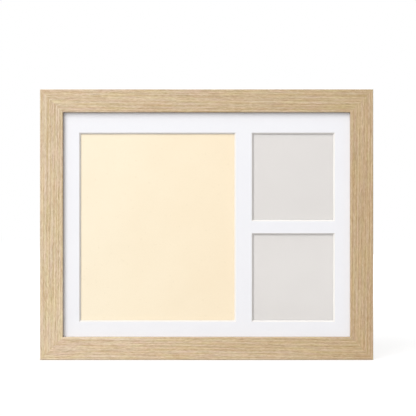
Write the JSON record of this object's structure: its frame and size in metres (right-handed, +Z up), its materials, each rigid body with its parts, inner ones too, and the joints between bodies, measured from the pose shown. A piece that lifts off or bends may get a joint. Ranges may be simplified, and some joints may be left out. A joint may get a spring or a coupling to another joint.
{
  "type": "clay print keepsake frame",
  "caption": "Mitred oak frame with a bevel-cut mat showing a clay tile beside photo windows, closed by a backing board with turn buttons, an easel strut and a sawtooth hanger.",
  "frame": {"origin": "middle of the underside of the bottom rail, half way through the rail's depth", "axes": "+X to the right as the frame is looked at, +Y from the front to the back, +Z up"},
  "size_m": [0.28, 0.0297, 0.2274],
  "materials": {
    "oak": "pale oak, fine straight grain, matt lacquer",
    "mat_white": "smooth white mat board with a bright white bevelled core",
    "clay": "smooth dried clay, matt cream",
    "card_grey": "plain pale grey card",
    "clear_sheet": "clear acrylic sheet",
    "foam_tape": "white foam mounting tape",
    "foam_board": "white paper-faced foam board",
    "spacer_wood": "bare softwood strip",
    "hardboard": "smooth brown hardboard",
    "steel": "zinc plated steel",
    "brassed_steel": "brass plated steel"
  },
  "bodies": {
    "frame": {"rail_top": "oak", "rail_bottom": "oak", "rail_left": "oak", "rail_right": "oak", "v_nail_top_left_outer": "steel", "v_nail_top_left_inner": "steel", "v_nail_top_right_outer": "steel", "v_nail_top_right_inner": "steel", "v_nail_bottom_left_outer": "steel", "v_nail_bottom_left_inner": "steel", "v_nail_bottom_right_outer": "steel", "v_nail_bottom_right_inner": "steel", "mat_board": "mat_white", "clay_tile": "clay", "tile_tape_left": "foam_tape", "tile_tape_middle": "foam_tape", "tile_tape_right": "foam_tape", "photo_pane_upper": "clear_sheet", "photo_pane_lower": "clear_sheet", "photo_card_upper": "card_grey", "photo_card_lower": "card_grey", "photo_filler_upper": "foam_board", "photo_filler_lower": "foam_board", "spacer_top": "spacer_wood", "spacer_bottom": "spacer_wood", "spacer_left": "spacer_wood", "spacer_right": "spacer_wood", "backing_board": "hardboard", "button_screw_top_left": "steel", "button_screw_top_right": "steel", "button_screw_bottom_left": "steel", "button_screw_bottom_right": "steel", "button_screw_left": "steel", "button_screw_right": "steel", "hinge_leaf_fixed": "steel", "hinge_pin": "steel", "fixed_leaf_rivet_left": "steel", "fixed_leaf_rivet_right": "steel", "wall_hanger": "brassed_steel", "hanger_nail_left": "brassed_steel", "hanger_nail_right": "brassed_steel"},
    "button_top_left": {"turn_button_top_left": "steel"},
    "button_top_right": {"turn_button_top_right": "steel"},
    "button_bottom_left": {"turn_button_bottom_left": "steel"},
    "button_bottom_right": {"turn_button_bottom_right": "steel"},
    "button_left": {"turn_button_left": "steel"},
    "button_right": {"turn_button_right": "steel"},
    "easel": {"easel_strut": "hardboard", "hinge_leaf_moving": "steel", "moving_leaf_rivet_left": "steel", "moving_leaf_rivet_right": "steel"}
  },
  "joints": [
    {"name": "turn_top_left", "type": "hinge", "parent": "frame", "child": "button_top_left", "pos_m": [-0.078, 0.0117, 0.22115], "axis": [0, 1, 0], "range_deg": [-90, 90]},
    {"name": "turn_top_right", "type": "hinge", "parent": "frame", "child": "button_top_right", "pos_m": [0.078, 0.0117, 0.22115], "axis": [0, 1, 0], "range_deg": [-90, 90]},
    {"name": "turn_bottom_left", "type": "hinge", "parent": "frame", "child": "button_bottom_left", "pos_m": [-0.078, 0.0117, 0.00625], "axis": [0, 1, 0], "range_deg": [-90, 90]},
    {"name": "turn_bottom_right", "type": "hinge", "parent": "frame", "child": "button_bottom_right", "pos_m": [0.078, 0.0117, 0.00625], "axis": [0, 1, 0], "range_deg": [-90, 90]},
    {"name": "turn_left", "type": "hinge", "parent": "frame", "child": "button_left", "pos_m": [-0.13375, 0.0117, 0.1137], "axis": [0, 1, 0], "range_deg": [-90, 90]},
    {"name": "turn_right", "type": "hinge", "parent": "frame", "child": "button_right", "pos_m": [0.13375, 0.0117, 0.1137], "axis": [0, 1, 0], "range_deg": [-90, 90]},
    {"name": "easel_swing", "type": "hinge", "parent": "frame", "child": "easel", "pos_m": [0, 0.0128, 0.1604], "axis": [1, 0, 0], "range_deg": [0, 30]}
  ]
}
